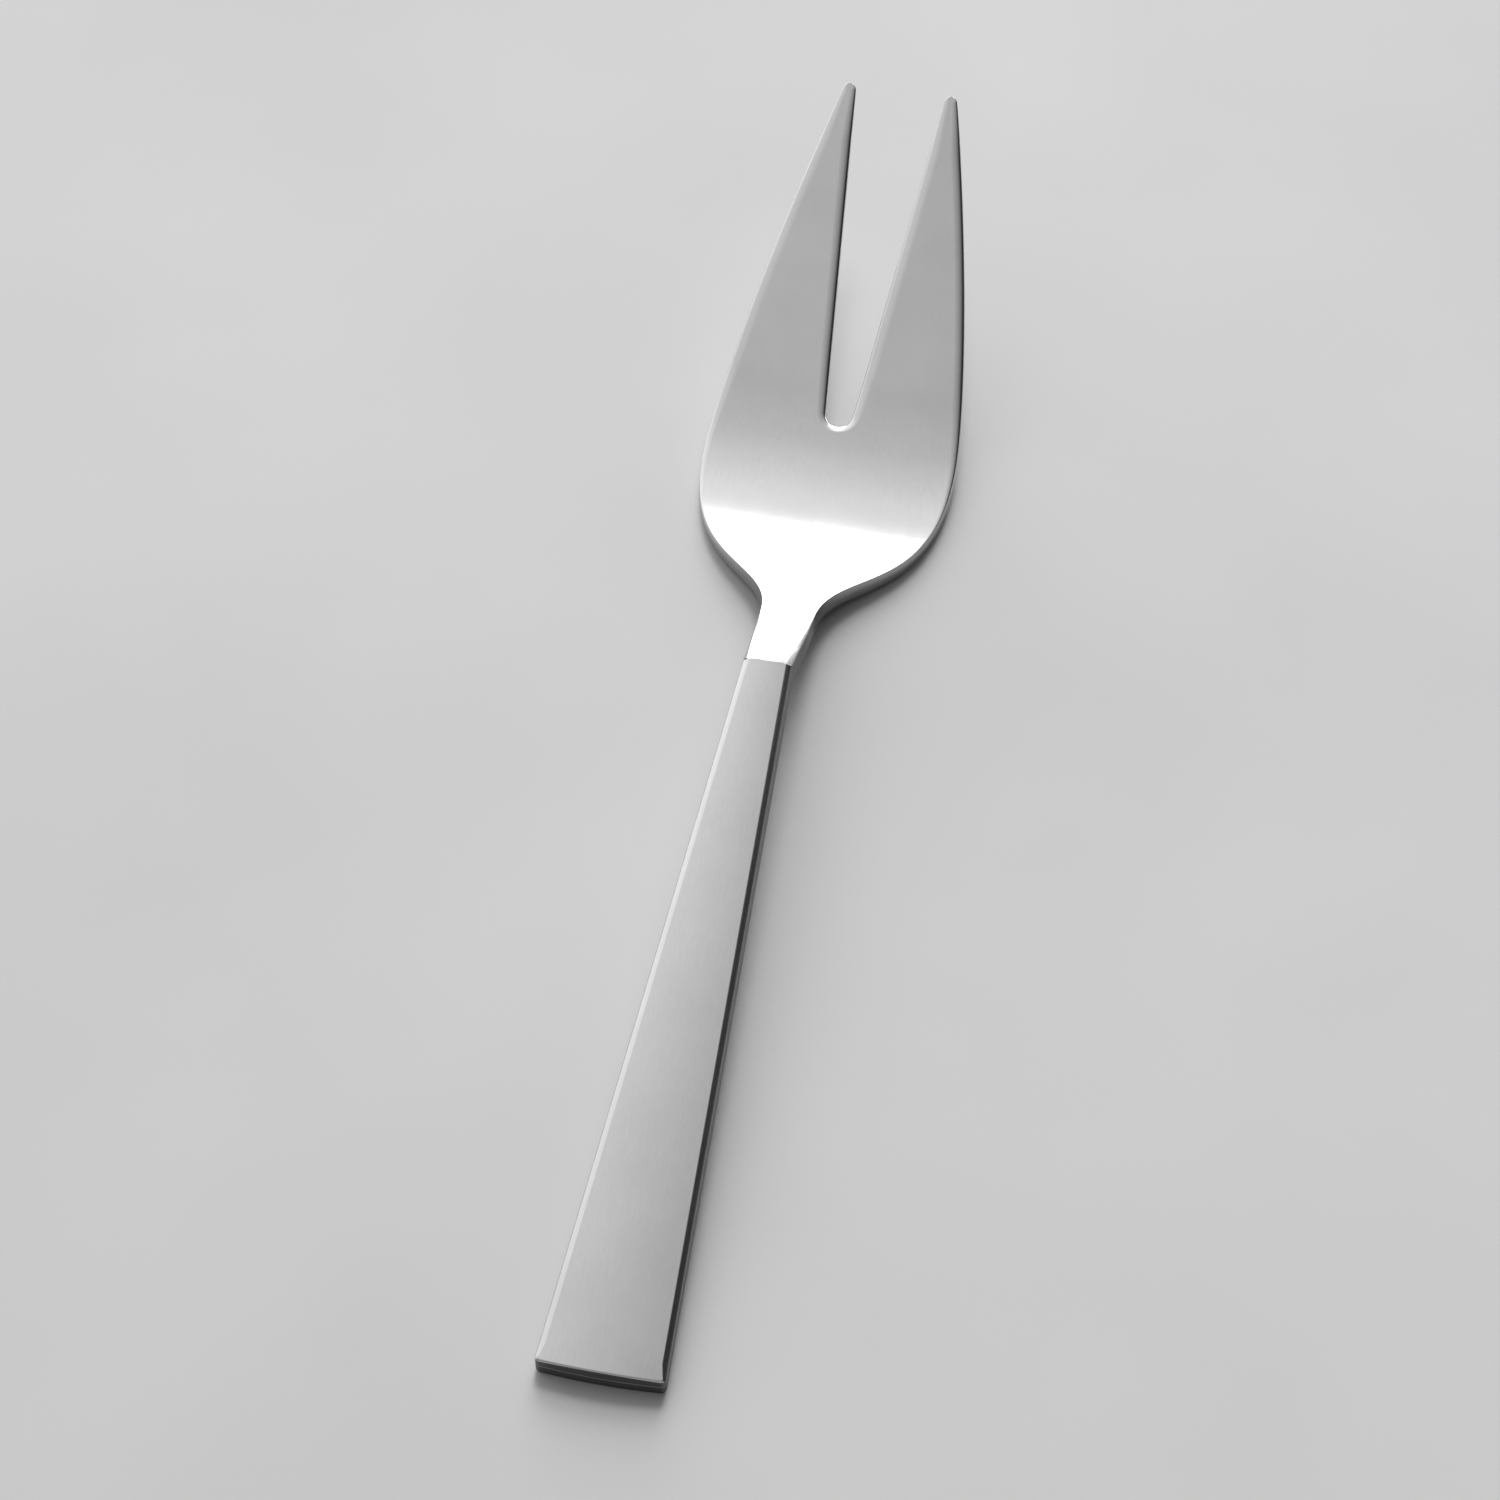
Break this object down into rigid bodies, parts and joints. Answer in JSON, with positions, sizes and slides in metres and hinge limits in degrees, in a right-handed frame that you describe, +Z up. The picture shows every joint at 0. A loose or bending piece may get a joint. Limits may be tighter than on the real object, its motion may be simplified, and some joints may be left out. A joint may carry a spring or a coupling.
{
  "type": "serving fork",
  "caption": "Slender steel serving fork with long pointed tines, a shallow curved head, a narrow neck and a flat tapered hollow handle, for lifting and serving sliced food.",
  "frame": {"origin": "on the surface that the fork lies on, under the middle of its length and width", "axes": "+Y along the fork from the butt of the handle to the tips of the tines, +Z up out of the face of the fork, +X to the right when the tips point away"},
  "size_m": [0.042, 0.24, 0.0277],
  "materials": {
    "head_steel": "fine satin, polished rims",
    "handle_steel": "fine satin, polished edges",
    "filler": "matt set resin compound"
  },
  "bodies": {
    "root": {"fork_head": "head_steel", "handle_front_shell": "handle_steel", "handle_back_shell": "handle_steel", "handle_filler": "filler"}
  },
  "joints": []
}
